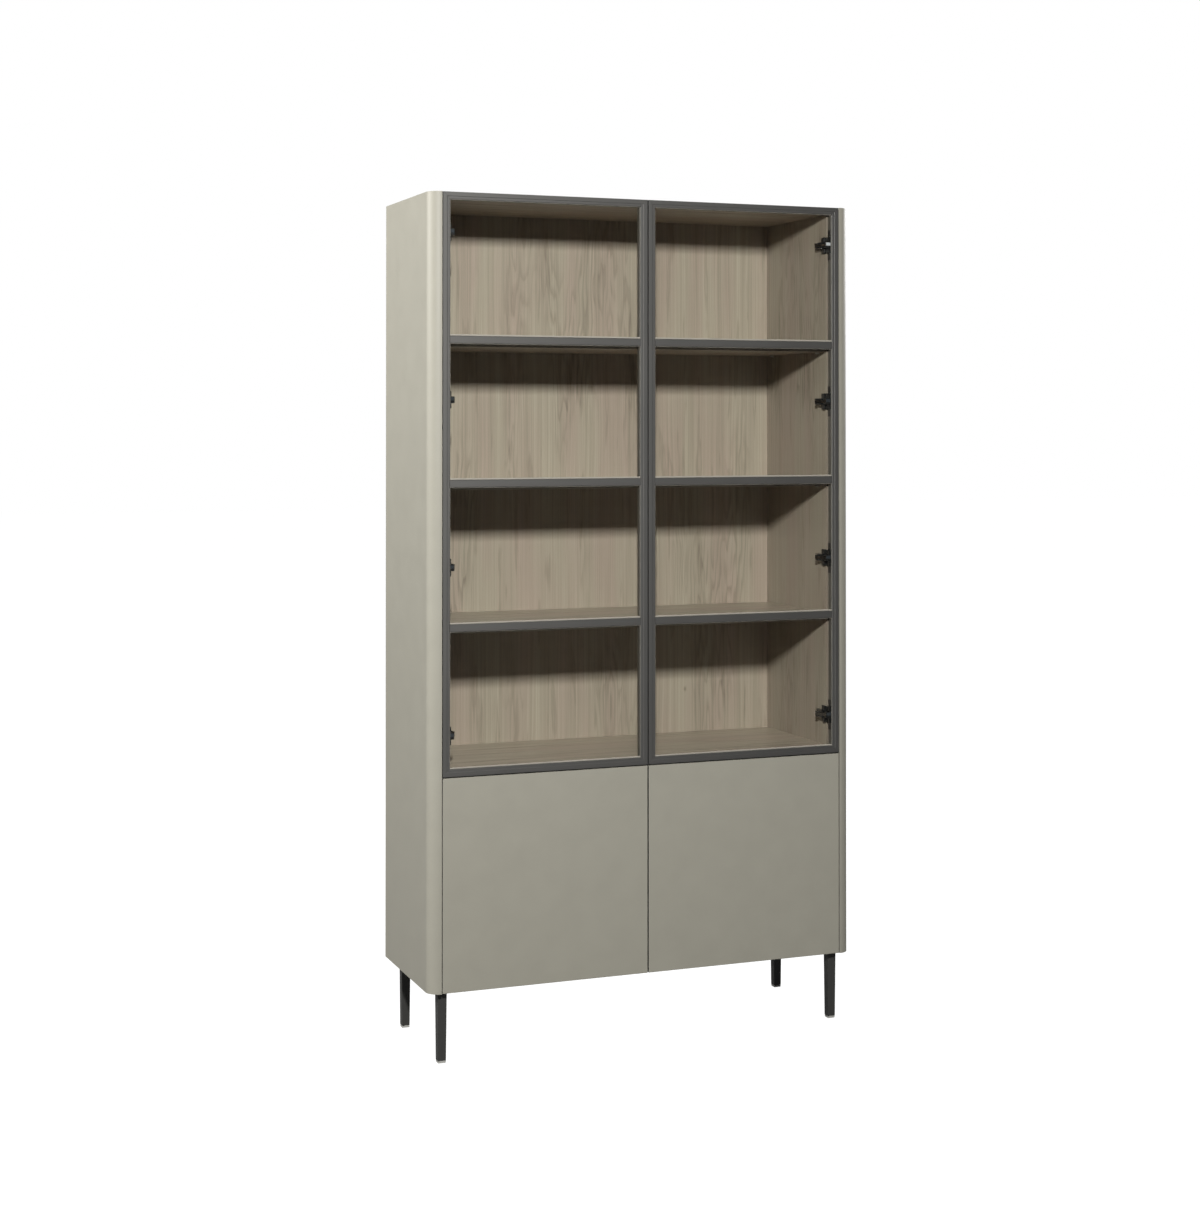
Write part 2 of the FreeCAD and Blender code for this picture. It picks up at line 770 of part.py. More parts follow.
def leg(x, y):
    """A tapered square tube on a plate."""
    outside = tapered_block(x, y, leg_foot_size, leg_top_size, glide_height, body_bottom_z)
    inside = tapered_block(x, y, leg_foot_size - 2 * leg_wall, leg_top_size - 2 * leg_wall,
                           glide_height, body_bottom_z)
    reach = leg_plate_size / 2
    plate_x, plate_y = leg_plate_centre(x, y)
    plate = block(plate_x - reach, plate_x + reach, plate_y - reach, plate_y + reach,
                  body_bottom_z, body_bottom_z + leg_plate_thickness)
    holes = []
    for sx, sy in leg_screw_places(x, y):
        holes.append(rod(leg_screw_radius, Vector(sx, sy, body_bottom_z - 1), Vector(0, 0, 1),
                         leg_plate_thickness + 2))
    return outside.cut(inside).fuse(plate.cut(holes)).removeSplitter()


def leg_screw(sx, sy):
    """A low-headed screw, its head under the plate."""
    seat = Vector(sx, sy, body_bottom_z)
    head = rod(leg_screw_head_radius, seat, Vector(0, 0, -1), leg_screw_head_height)
    shank = rod(leg_screw_radius, seat, Vector(0, 0, 1), leg_screw_length)
    return head.fuse(shank).removeSplitter()


def glide(x, y):
    """A plastic foot pushed into the tube's end."""
    size = leg_foot_size - 2 * glide_margin
    half = size / 2
    foot = block(x - half, x + half, y - half, y + half, 0, glide_height)
    plug_half = leg_foot_size / 2 - leg_wall - glide_plug_fit
    plug = block(x - plug_half, x + plug_half, y - plug_half, y + plug_half,
                 glide_height, glide_height + glide_plug)
    return foot.fuse(plug).removeSplitter()


def latch_sleeve(side, board_bottom_z):
    """The latch's tube in the board, with a thin collar on the board's edge."""
    z = board_bottom_z + board_thickness / 2
    x = side * latch_from_middle
    mouth = Vector(x, carcass_front_y, z)
    collar_start = Vector(x, carcass_front_y - latch_collar_thickness, z)
    tube = rod(latch_sleeve_radius, mouth, Vector(0, 1, 0), latch_sleeve_length)
    collar = rod(latch_collar_radius, collar_start, Vector(0, 1, 0), latch_collar_thickness)
    bore_length = latch_sleeve_length - latch_collar_thickness
    bore = rod(plunger_radius + plunger_fit, collar_start, Vector(0, 1, 0), bore_length)
    return tube.fuse(collar).cut(bore).removeSplitter()


def plunger(side, board_bottom_z):
    """The latch's plunger, whose tip meets the closed door."""
    z = board_bottom_z + board_thickness / 2
    tip_y = front_y + door_thickness + plunger_door_clearance
    start = Vector(side * latch_from_middle, tip_y, z)
    return rod(plunger_radius, start, Vector(0, 1, 0), plunger_length)


def shelf_pins_at(level):
    """The four pins under one shelf."""
    pins = []
    for side in (-1, 1):
        for y in shelf_pin_places():
            inner_end = inner_face_x - (shelf_pin_length - shelf_pin_depth)
            start = Vector(side * inner_end, y, level - shelf_pin_drop)
            pins.append(rod(shelf_pin_radius, start, Vector(side, 0, 0), shelf_pin_length))
    return pins


def dowels_at(joint_z, board_above):
    """The four dowels of one board joint, which reach further into the inner sides."""
    in_side = dowel_length - dowel_depth_in_board
    start_z = joint_z - in_side if board_above else joint_z - dowel_depth_in_board
    pins = []
    for side in (-1, 1):
        for y in dowel_places():
            x = side * (opening_half - inner_side_thickness / 2)
            pins.append(rod(dowel_radius, Vector(x, y, start_z), Vector(0, 0, 1), dowel_length))
    return pins


def connector(x, y):
    """A screw that comes up from the lower carcass into the upper one."""
    seat_z = split_z - board_thickness
    head = rod(connector_head_radius, Vector(x, y, seat_z - connector_head_height),
               Vector(0, 0, 1), connector_head_height)
    shank = rod(connector_radius, Vector(x, y, seat_z), Vector(0, 0, 1), connector_length)
    return head.fuse(shank)


# ---- Build

def build_upper_carcass():
    """The glazed carcass: sides, linings, boards, back and shelves."""
    floor_z = split_z + board_thickness
    ceiling_z = overall_height - board_thickness
    for side, word in ((-1, "left"), (1, "right")):
        export("upper_side_panel_" + word, side_panel(side, split_z, overall_height))
        export("upper_inner_side_" + word,
               inner_side(side, floor_z, ceiling_z, upper_shelves, upper_hinges))
    top = flat_board(ceiling_z).cut(board_dowel_holes(ceiling_z, True) + latch_holes(ceiling_z))
    export("upper_top_board", top)
    screw_top = split_z - board_thickness + connector_length
    bottom = flat_board(split_z).cut(board_dowel_holes(split_z, False)
                                     + connector_holes(connector_radius, split_z - 1, screw_top))
    export("upper_bottom_board", bottom)
    export("upper_back_panel", back_panel(split_z, overall_height))
    for level, word in zip(upper_shelves, ("low", "middle", "high")):
        export("upper_shelf_" + word, shelf(level))


def build_lower_carcass():
    """The closed carcass: sides, linings, boards, back and one shelf."""
    floor_z = body_bottom_z + board_thickness
    ceiling_z = split_z - board_thickness
    cuts = leg_cuts()
    for side, word in ((-1, "left"), (1, "right")):
        export("lower_side_panel_" + word, side_panel(side, body_bottom_z, split_z).cut(cuts))
        export("lower_inner_side_" + word,
               inner_side(side, floor_z, ceiling_z, [lower_shelf_bottom], lower_hinges))
    top = flat_board(ceiling_z).cut(board_dowel_holes(ceiling_z, True) + latch_holes(ceiling_z)
                                    + connector_holes(connector_radius, ceiling_z - 1, split_z + 1))
    export("lower_top_board", top)
    bottom = flat_board(body_bottom_z).cut(board_dowel_holes(body_bottom_z, False) + cuts)
    export("lower_bottom_board", bottom)
    export("lower_back_panel", back_panel(body_bottom_z, split_z))
    export("lower_shelf", shelf(lower_shelf_bottom))


def build_hinges():
    """Plates, arms and screws on the carcass, and the links of each door."""
    doors = (
        (-1, upper_hinges, "glass_door_left"),
        (1, upper_hinges, "glass_door_right"),
        (-1, lower_hinges, "lower_door_left"),
        (1, lower_hinges, "lower_door_right"),
    )
    plates = []
    arms = []
    screws = []
    for side, heights, door in doors:
        plates += at_heights(hinge_plate(), side, heights)
        arms += at_heights(hinge_arm(), side, heights)
        for offset in (-hinge_screw_offset, hinge_screw_offset):
            screws += at_heights(hinge_screw(offset), side, heights)
        export(door + "_hinge_rockers", at_heights(hinge_rocker(), side, heights))
        export(door + "_hinge_cranks", at_heights(hinge_crank(), side, heights))
    export("hinge_plates", plates)
    export("hinge_arms", arms)
    export("hinge_screws", screws)


def build_doors():
    """Two glazed doors over two solid ones."""
    for side, word in ((-1, "left"), (1, "right")):
        glazed_door(side, "glass_door_" + word)
        solid_door(side, "lower_door_" + word)


def build_latches():
    """A push latch behind the free edge of each door."""
    sleeves = []
    for row, board_z in (("upper", overall_height - board_thickness), ("lower", split_z - board_thickness)):
        for side, word in ((-1, "left"), (1, "right")):
            sleeves.append(latch_sleeve(side, board_z))
            export(row + "_latch_plunger_" + word, plunger(side, board_z))
    export("latch_sleeves", sleeves)


def build_legs():
    """Four legs with their screws and glides."""
    screws = []
    glides = []
    for word, (x, y) in leg_centres().items():
        export("leg_" + word, leg(x, y))
        glides.append(glide(x, y))
        for sx, sy in leg_screw_places(x, y):
            screws.append(leg_screw(sx, sy))
    export("leg_screws", screws)
    export("leg_glides", glides)


def build_fittings():
    """Shelf pins, dowels and the screws between the carcasses."""
    pins = []
    for level in upper_shelves + [lower_shelf_bottom]:
        pins += shelf_pins_at(level)
    export("shelf_pins", pins)
    dowels = []
    dowels += dowels_at(overall_height - board_thickness, True)
    dowels += dowels_at(split_z + board_thickness, False)
    dowels += dowels_at(split_z - board_thickness, True)
    dowels += dowels_at(body_bottom_z + board_thickness, False)
    export("carcass_dowels", dowels)
    export("carcass_connectors", [connector(x, y) for x, y in connector_places()])


os.makedirs("parts", exist_ok=True)
build_upper_carcass()
build_lower_carcass()
build_doors()
build_hinges()
build_latches()
build_legs()
build_fittings()
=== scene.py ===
import json
import math

import bpy
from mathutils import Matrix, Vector


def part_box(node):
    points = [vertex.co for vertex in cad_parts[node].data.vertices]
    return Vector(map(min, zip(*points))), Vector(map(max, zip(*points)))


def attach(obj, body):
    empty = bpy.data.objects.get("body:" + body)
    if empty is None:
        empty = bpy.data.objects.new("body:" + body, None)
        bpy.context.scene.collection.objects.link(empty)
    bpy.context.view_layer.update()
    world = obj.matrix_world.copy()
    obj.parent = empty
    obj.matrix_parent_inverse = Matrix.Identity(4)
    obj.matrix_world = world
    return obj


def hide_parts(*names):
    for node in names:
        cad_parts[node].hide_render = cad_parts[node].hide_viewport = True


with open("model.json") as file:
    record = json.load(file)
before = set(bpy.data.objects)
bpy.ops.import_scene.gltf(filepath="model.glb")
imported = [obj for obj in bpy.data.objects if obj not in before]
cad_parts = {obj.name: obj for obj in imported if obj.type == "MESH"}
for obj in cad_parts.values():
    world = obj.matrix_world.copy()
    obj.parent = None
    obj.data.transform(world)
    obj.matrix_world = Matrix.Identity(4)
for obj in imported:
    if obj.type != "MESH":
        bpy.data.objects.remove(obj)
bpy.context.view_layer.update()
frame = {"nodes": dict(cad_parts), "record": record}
nodes = frame["nodes"]
SIDES = {"left": -1, "right": 1}
ROWS = ("upper", "lower")
X, Y, Z = range(3)


# ---- Outer side panels
# Thick boards in matt stone-grey lacquer, one pair per carcass. The front outer edge is a full
# quarter round, routed and lacquered with the face, and the other edges have a fine arris.

PANEL_EDGE_RADIUS = 0.030
PANEL_EDGE_STEPS = 16
BOARD_ARRIS = 0.0007
STONE_GREY = (0.300, 0.291, 0.250)
CLOUD_SCALE = 17.0
SPECK_SCALE = 640.0
PEEL_SCALE = 230.0
TOUCH = 1e-5        # two places nearer than this are the same place
SHARP_ANGLE = 40    # degrees past which an edge is eased
SMOOTH_ANGLE = 35   # degrees up to which faces are shaded as one curve


class Wire:
    """A socket in a finish's node tree, so that its patterns can be written as sums."""

    def __init__(self, tree, socket):
        self.tree = tree
        self.socket = socket

    def node(self, kind, settings, sockets, output=0):
        """Adds a node, makes its settings, fills its sockets and returns one output."""
        made = self.tree.nodes.new("ShaderNode" + kind)
        for name, value in settings.items():
            if name == "stops":
                set_stops(made.color_ramp, value)
            else:
                setattr(made, name, value)
        for name, value in sockets.items():
            plug(self.tree, made.inputs[name], value)
        return Wire(self.tree, made.outputs[output])

    def outlet(self, output):
        """Another output of the node that this socket belongs to."""
        return Wire(self.tree, self.socket.node.outputs[output])

    def math(self, operation, *values):
        """One Math node on the given values."""
        return self.node("Math", {"operation": operation}, dict(enumerate(values)))

    def __add__(self, other):
        return self.math("ADD", self, other)

    def __sub__(self, other):
        return self.math("SUBTRACT", self, other)

    def __rsub__(self, other):
        return self.math("SUBTRACT", other, self)

    def __mul__(self, other):
        return self.math("MULTIPLY", self, other)

    def __pow__(self, other):
        return self.math("POWER", self, other)

    __radd__ = __add__
    __rmul__ = __mul__

    def noise(self, scale, detail):
        """Soft noise over this place."""
        return self.node("TexNoise", {}, {"Vector": self, "Scale": scale, "Detail": detail})

    def ramp(self, *stops):
        """The value sent through a row of (place, grey or colour) stops."""
        return self.node("ValToRGB", {"stops": stops}, {0: self})

    def spread(self, low, high):
        """The value stretched until low is 0 and high is 1."""
        return self.ramp((low, 0.0), (high, 1.0))

    def tint(self, low, high):
        """A colour between two, by this value."""
        return self.node("Mix", {"data_type": "RGBA"}, {0: self, 6: low, 7: high}, output=2)


def set_stops(ramp, stops):
    """Lays a ramp's stops, each a place with a grey or a colour."""
    while len(ramp.elements) < len(stops):
        ramp.elements.new(0.5)
    for element, (place, colour) in zip(ramp.elements, stops):
        element.position = place
        tone = colour if isinstance(colour, tuple) else (colour, colour, colour)
        element.color = (*tone[:3], 1.0)


def plug(tree, socket, value):
    """Links a wire to a socket, or sets the socket's own value."""
    if isinstance(value, Wire):
        tree.links.new(value.socket, socket)
    elif isinstance(value, tuple) and socket.type == "RGBA":
        socket.default_value = (*value[:3], 1.0)
    else:
        socket.default_value = value


def new_finish(name, **sockets):
    """An empty finish: its material, its Principled node and its Object coordinates."""
    finish = bpy.data.materials.new(name)
    finish.use_nodes = True
    tree = finish.node_tree
    shader = tree.nodes["Principled BSDF"]
    for socket, value in sockets.items():
        plug(tree, shader.inputs[socket.replace("_", " ")], value)
    place = Wire(tree, tree.nodes.new("ShaderNodeTexCoord").outputs["Object"])
    return finish, shader, place


def lay_coat(place, shader, colour, roughness, height, strength, distance):
    """Feeds a finish's colour, its roughness and the height of its bumps to its shader."""
    plug(place.tree, shader.inputs["Base Color"], colour)
    plug(place.tree, shader.inputs["Roughness"], roughness)
    bump = place.node("Bump", {}, {"Height": height, "Strength": strength, "Distance": distance})
    plug(place.tree, shader.inputs["Normal"], bump)


def shaded(colour, factor):
    """A colour made darker or lighter."""
    return tuple(part * factor for part in colour)


def lacquer_finish(name, colour):
    """Matt sprayed lacquer: a faint cloud in the tone, fine specks and an orange peel."""
    finish, shader, place = new_finish(name, Specular_IOR_Level=0.4)
    cloud = place.noise(CLOUD_SCALE, detail=5.0)
    speck = place.noise(SPECK_SCALE, detail=2.0)
    peel = place.noise(PEEL_SCALE, detail=1.0)
    tone = (cloud * 0.5 + speck * 0.5).spread(0.36, 0.64)
    lay_coat(place, shader,
             colour=tone.tint(shaded(colour, 0.965), shaded(colour, 1.03)),
             roughness=0.45 + cloud * 0.10,
             height=peel * 0.7 + speck * 0.3, strength=0.12, distance=0.0004)
    return finish


def take_alone(piece):
    """Makes one piece the only one worked on, with nothing picked in its mesh."""
    bpy.ops.object.select_all(action="DESELECT")
    bpy.context.view_layer.objects.active = piece
    piece.select_set(True)
    bpy.ops.object.mode_set(mode="EDIT")
    bpy.ops.mesh.select_all(action="DESELECT")
    bpy.ops.object.mode_set(mode="OBJECT")


def pick_edges(piece, **places):
    """Picks the edges that lie at the given x, y or z, and leaves edit mode open."""
    take_alone(piece)
    points = piece.data.vertices
    for edge in piece.data.edges:
        ends = [points[index].co for index in edge.vertices]
        edge.select = all(abs(getattr(end, axis) - at) < TOUCH
                          for end in ends for axis, at in places.items())
    bpy.ops.object.mode_set(mode="EDIT")
    bpy.ops.mesh.select_mode(type="EDGE")


def round_picked(radius, steps):
    """Rounds the picked edges and leaves edit mode."""
    bpy.ops.mesh.bevel(offset=radius, segments=steps, profile=0.5)
    bpy.ops.object.mode_set(mode="OBJECT")


def block_between(name, low, high):
    """A board blank between two corners, its place held in its mesh."""
    bpy.ops.object.select_all(action="DESELECT")
    centre = (Vector(low) + Vector(high)) / 2
    bpy.ops.mesh.primitive_cube_add(size=1, location=centre)
    piece = bpy.context.object
    piece.name = name
    piece.data.name = name
    piece.scale = Vector(high) - Vector(low)
    bpy.ops.object.transform_apply(location=True, rotation=True, scale=True)
    return piece


def ease_edges(piece, width, steps=2):
    """Rounds every edge of a piece that is still sharp."""
    easing = piece.modifiers.new("arris", "BEVEL")
    easing.width = width
    easing.segments = steps
    easing.limit_method = "ANGLE"
    easing.angle_limit = math.radians(SHARP_ANGLE)
    finish_mesh(piece)


def finish_mesh(piece):
    """Applies a piece's modifiers, then shades curves smooth and keeps the large flats flat."""
    bpy.ops.object.select_all(action="DESELECT")
    bpy.context.view_layer.objects.active = piece
    piece.select_set(True)
    for step in list(piece.modifiers):
        bpy.ops.object.modifier_apply(modifier=step.name)
    bpy.ops.object.shade_smooth_by_angle(angle=math.radians(SMOOTH_ANGLE))
    flats = piece.modifiers.new("flats", "WEIGHTED_NORMAL")
    flats.keep_sharp = True
    bpy.ops.object.modifier_apply(modifier=flats.name)


def fit(piece, finish, body):
    """Gives a piece its finish and puts it on its body."""
    piece.data.materials.append(finish)
    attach(piece, body)


def face_x(node, side):
    """The x of a node's left (-1) or right (1) face."""
    low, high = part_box(node)
    return high[X] if side > 0 else low[X]


stone_lacquer = lacquer_finish("stone_lacquer", STONE_GREY)

for row in ROWS:
    for word, side in SIDES.items():
        node = f"{row}_side_panel_{word}"
        low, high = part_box(node)
        panel = block_between(f"{node}_lacquered", low, high)
        pick_edges(panel, x=face_x(node, side), y=low[Y])
        round_picked(PANEL_EDGE_RADIUS - TOUCH, PANEL_EDGE_STEPS)
        ease_edges(panel, BOARD_ARRIS)
        fit(panel, stone_lacquer, "carcass")
        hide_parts(node)


# ---- Linings, backs and level boards
# Melamine boards with a greyed oak print, 8 to 22 mm thick, bored for dowels, pins and hinges. The
# grain stands upright on linings and backs and runs from side to side on the level boards. A band
# of the print darkened with painted shade, for the door stiles' shadow, closes the linings' front
# edges, and the outside faces are lacquered.

OAK_LIGHT = (0.414, 0.364, 0.288)
OAK_PINK = (0.406, 0.323, 0.268)
OAK_MID = (0.268, 0.227, 0.178)
OAK_LINE = (0.150, 0.120, 0.090)
PLANK_WIDTH = 0.185
PLANK_START = 0.37    # how far into a plank the print starts, in planks
WAVE_DEPTH = 0.022    # how far the grain wanders sideways, in metres
FIGURE_RINGS = 13.0   # growth lines in an open figure
KNOTS = (4.6, 2.7)    # knot cells per metre across and along the boards
KNOT_SEED = 0.4
GRAINS = {            # cells per metre across and along the boards, detail, seed
    "wave": (6.0, 1.5, 2.0, 0.0),
    "fine": (360.0, 1.8, 2.0, 3.0),
    "stripe": (150.0, 0.9, 3.0, 5.0),
    "band": (24.0, 0.5, 2.0, 7.0),
    "blush": (13.0, 1.6, 2.0, 9.0),
    "ring": (17.0, 1.7, 3.0, 11.0),
    "open_figure": (8.0, 1.4, 1.0, 13.0),
    "vein": (46.0, 3.4, 3.0, 15.0),
    "pore": (900.0, 24.0, 1.0, 17.0),
}
MERGE_REACH = 1e-6
FLAT_ANGLE = 0.5      # degrees between faces that are one flat
BODY_OF = {node: body for body, members in frame["record"]["behaviour"]["bodies"].items()
           for node in members}


def oak_finish(name, along, across, roughness=0.40, shade=1.0):
    """Greyed oak: close straight grain, soft planks, a few open figures and pin knots."""
    finish, shader, place = new_finish(name, Specular_IOR_Level=0.5)
    axes = place.node("SeparateXYZ", {}, {0: place})
    run, cross = axes.outlet(along), axes.outlet(across)

    def grain(kind, aside):
        """Noise drawn out along the boards."""
        across_scale, along_scale, detail, seed = GRAINS[kind]
        spot = place.node("CombineXYZ", {}, {0: aside * across_scale, 1: run * along_scale, 2: seed})
        return spot.noise(1.0, detail)

    bent = cross + (grain("wave", cross) - 0.5) * WAVE_DEPTH
    plank = cross * (1 / PLANK_WIDTH) + PLANK_START
    number = plank.math("FLOOR", plank)
    chance = place.node("TexWhiteNoise", {"noise_dimensions": "1D"}, {"W": number})

    fine = grain("fine", bent).spread(0.36, 0.64)
    stripe = grain("stripe", bent).spread(0.34, 0.66)
    band = grain("band", bent).spread(0.36, 0.64)
    blush = grain("blush", bent).spread(0.40, 0.62)
    tone = fine * 0.40 + stripe * 0.30 + band * 0.20 + chance * 0.10
    dark, light, pink, mark = (shaded(colour, shade)
                               for colour in (OAK_MID, OAK_LIGHT, OAK_PINK, OAK_LINE))
    ground = tone.tint(dark, blush.tint(light, pink))

    contour = grain("ring", bent) * FIGURE_RINGS + chance * 3.0
    ring = contour.math("FRACT", contour).ramp((0.0, 1.0), (0.16, 0.1), (0.55, 0.0), (1.0, 1.0))
    open_figure = grain("open_figure", bent).spread(0.50, 0.62)
    vein = grain("vein", bent).ramp((0.585, 0.0), (0.64, 1.0), (0.70, 0.3))
    spot = place.node("CombineXYZ", {}, {0: bent * KNOTS[0], 1: run * KNOTS[1], 2: KNOT_SEED})
    knot = place.node("TexVoronoi", {}, {"Vector": spot, "Scale": 1.0})
    knots = knot.ramp((0.0, 1.0), (0.012, 0.7), (0.024, 0.0))
    pores = grain("pore", bent).spread(0.60, 0.74)

    lines = ring * open_figure * 0.44 + vein * 0.34 + knots * 0.80 + pores * 0.12
    colour = place.node("Mix", {"data_type": "RGBA", "clamp_factor": True},
                        {0: lines, 6: ground, 7: mark}, output=2)
    lay_coat(place, shader, colour=colour, roughness=roughness + fine * 0.12,
             height=fine * 0.6 - pores * 0.4, strength=0.16, distance=0.0003)
    return finish


def eased_copy(node, width, finish, steps=2):
    """A solid's own shape with its flats made whole and its sharp edges eased."""
    piece = bpy.data.objects.new(f"{node}_eased", nodes[node].data.copy())
    bpy.context.scene.collection.objects.link(piece)
    take_alone(piece)
    bpy.ops.mesh.customdata_custom_splitnormals_clear()
    bpy.ops.object.mode_set(mode="EDIT")
    bpy.ops.mesh.select_all(action="SELECT")
    bpy.ops.mesh.remove_doubles(threshold=MERGE_REACH)
    bpy.ops.mesh.dissolve_limited(angle_limit=math.radians(FLAT_ANGLE))
    bpy.ops.object.mode_set(mode="OBJECT")
    piece.data.materials.clear()
    ease_edges(piece, width, steps)
    fit(piece, finish, BODY_OF[node])
    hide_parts(node)
    return piece


def face_in(board, finish, outward):
    """Gives a board another finish on the face that looks one way."""
    board.data.materials.append(finish)
    for face in board.data.polygons:
        face.material_index = 1 if face.normal.dot(Vector(outward)) > 0.9 else 0


oak_upright_x = oak_finish("oak_upright_across_x", along=Z, across=X)
# The linings' copy of the print is darker, painted shade for walls that take the light at a slant.
oak_upright_y = oak_finish("oak_upright_across_y", along=Z, across=Y, shade=0.88)
# The level boards' copy is lighter, a painted sheen on their tops.
oak_level = oak_finish("oak_level", along=X, across=Y, roughness=0.27, shade=1.15)
# Painted shade: the linings' front edges are darkened for the shadow of the door stiles.
painted_shade_band = oak_finish("oak_band_painted_shade", along=Z, across=X, shade=0.55)

for row in ROWS:
    for word in SIDES:
        lining = eased_copy(f"{row}_inner_side_{word}", BOARD_ARRIS, oak_upright_y)
        face_in(lining, painted_shade_band, (0, -1, 0))
    back = eased_copy(f"{row}_back_panel", BOARD_ARRIS, oak_upright_x)
    face_in(back, stone_lacquer, (0, 1, 0))
for node in ("lower_top_board", "upper_bottom_board"):
    eased_copy(node, BOARD_ARRIS, oak_level)
for node, up in (("upper_top_board", 1), ("lower_bottom_board", -1)):
    board = eased_copy(node, BOARD_ARRIS, oak_level)
    face_in(board, stone_lacquer, (0, 0, up))


# ---- Shelves
# Loose boards in the same print, laid on four pins each. A thin band of the print closes the
# front edge, and its softly rounded corners catch the light.

BAND_THICKNESS = 0.0010
SHELF_ARRIS = 0.0009

for node in ("upper_shelf_low", "upper_shelf_middle", "upper_shelf_high", "lower_shelf"):
    low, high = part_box(node)
    shelf = block_between(f"{node}_banded", low, high)
    take_alone(shelf)
    bpy.ops.object.mode_set(mode="EDIT")
    bpy.ops.mesh.select_all(action="SELECT")
    bpy.ops.mesh.bisect(plane_co=(0, low[Y] + BAND_THICKNESS, 0), plane_no=(0, 1, 0))
    bpy.ops.object.mode_set(mode="OBJECT")
    ease_edges(shelf, SHELF_ARRIS, steps=3)
    fit(shelf, oak_level, "carcass")
    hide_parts(node)


# ---- Glazed doors
# Frames of extruded aluminium in satin graphite, with glazing bars on the face of one clear pane.
# Thin plastic beads hold the glass in front and behind, notched behind at the hinges. Cream strips
# lie along the sills, setting strips made pale as a painted highlight line along the foot of each
# light, and black seals close the gap between the meeting stiles.

GRAPHITE = (0.131, 0.130, 0.127)
GRAPHITE_SHEEN = {"roughness": 0.58, "metallic": 0.90}
FRAME_ARRIS = 0.00025
BAR_BOTTOMS = (0.9895, 1.3205, 1.6515)
BAR_HEIGHT = 0.017
BEAD_GREY = (0.20, 0.19, 0.17)
BEAD_WIDTH = 0.0012
BEAD_HEIGHT = 0.0010
CLIP_GREIGE = (0.095, 0.087, 0.074)
CLIP_WIDTH = 0.0006
CLIP_DEPTH = 0.0125
SILL_HIGHLIGHT_CREAM = (0.34, 0.32, 0.28)
SILL_HEIGHT = 0.0028
SEAL_AND_GAP_SHADE_BLACK = (0.012, 0.012, 0.012)
SEAL_THICKNESS = 0.0006
SEAL_SETBACK = 0.0004
HINGE_HEIGHTS = {"glass_door": (0.750, 1.136, 1.522, 1.908), "lower_door": (0.257, 0.564)}
NOTCH_REACH = 0.0210
NOTCH_MARGIN = 0.0010
WHITE = (1.0, 1.0, 1.0)
GLASS_TINT = (0.985, 0.995, 0.99)
GLASS_SHINE = 0.015   # share of light that the glass mirrors, seen straight on
DRAW_FINE = 900.0     # draw lines per metre, across the drawn bar
DRAW_LONG = 8.0       # and along it


def metal_finish(name, colour, roughness, metallic, drawn):
    """Satin metal with a very fine draw line along one axis."""
    finish, shader, place = new_finish(name, Metallic=metallic)
    axes = place.node("SeparateXYZ", {}, {0: place})
    parts = {axis: axes.outlet(axis) * (DRAW_LONG if axis == drawn else DRAW_FINE)
             for axis in (X, Y, Z)}
    line = place.node("CombineXYZ", {}, parts).noise(1.0, detail=1.0)
    cloud = place.noise(14.0, detail=3.0)
    lay_coat(place, shader,
             colour=line.tint(shaded(colour, 0.92), shaded(colour, 1.08)),
             roughness=roughness - 0.05 + cloud * 0.1,
             height=line, strength=0.08, distance=0.0002)
    return finish


def glass_finish(name):
    """Clear float glass with a faint mirror image that grows with the slant, and a slight green."""
    finish = bpy.data.materials.new(name)
    finish.use_nodes = True
    tree = finish.node_tree
    tree.nodes.clear()
    see = Wire(tree, tree.nodes.new("ShaderNodeBsdfTransparent").outputs[0])
    plug(tree, see.socket.node.inputs["Color"], GLASS_TINT)
    shine = see.node("BsdfGlossy", {}, {"Color": WHITE, "Roughness": 0.02})
    slant = see.node("LayerWeight", {}, {"Blend": 0.5}, output=1)
    mirror = slant ** 5 * (1 - GLASS_SHINE) + GLASS_SHINE
    both = see.node("MixShader", {}, {0: mirror, 1: see, 2: shine})
    end = tree.nodes.new("ShaderNodeOutputMaterial")
    tree.links.new(both.socket, end.inputs["Surface"])
    return finish


def plastic_finish(name, colour, roughness):
    """Moulded plastic with a fine spark-eroded grain."""
    finish, shader, place = new_finish(name)
    grain = place.noise(1500.0, detail=2.0)
    lay_coat(place, shader, colour=grain.tint(shaded(colour, 0.93), colour),
             roughness=roughness + grain * 0.1, height=grain, strength=0.15, distance=0.0002)
    return finish


def glazing_bead(name, low, high, front_y, width, depth):
    """A square ring of bead laid against the glass, inside a light of the frame."""
    bpy.ops.object.select_all(action="DESELECT")
    centre = ((low[0] + high[0]) / 2, front_y, (low[1] + high[1]) / 2)
    bpy.ops.mesh.primitive_plane_add(size=1, location=centre, rotation=(math.pi / 2, 0, 0))
    bead = bpy.context.object
    bead.name = name
    bead.data.name = name
    bead.scale = (high[0] - low[0], high[1] - low[1], 1)
    bpy.ops.object.transform_apply(location=True, rotation=True, scale=True)
    bpy.ops.object.mode_set(mode="EDIT")
    bpy.ops.mesh.select_mode(type="FACE")
    bpy.ops.mesh.select_all(action="SELECT")
    bpy.ops.mesh.inset(thickness=width)
    bpy.ops.mesh.delete(type="FACE")
    bpy.ops.mesh.select_all(action="SELECT")
    bpy.ops.mesh.extrude_region_move(TRANSFORM_OT_translate={"value": (0, depth, 0)})
    bpy.ops.mesh.select_all(action="SELECT")
    bpy.ops.mesh.normals_make_consistent(inside=False)
    bpy.ops.object.mode_set(mode="OBJECT")
    ease_edges(bead, width / 4)
    return bead


def notch(bead, cutters):
    """Cuts blocks out of a bead, where it leaves room for a hinge's links."""
    for cutter in cutters:
        cut = bead.modifiers.new("notch", "BOOLEAN")
        cut.operation = "DIFFERENCE"
        cut.solver = "EXACT"
        cut.object = cutter
    finish_mesh(bead)
    for cutter in cutters:
        bpy.data.objects.remove(cutter)


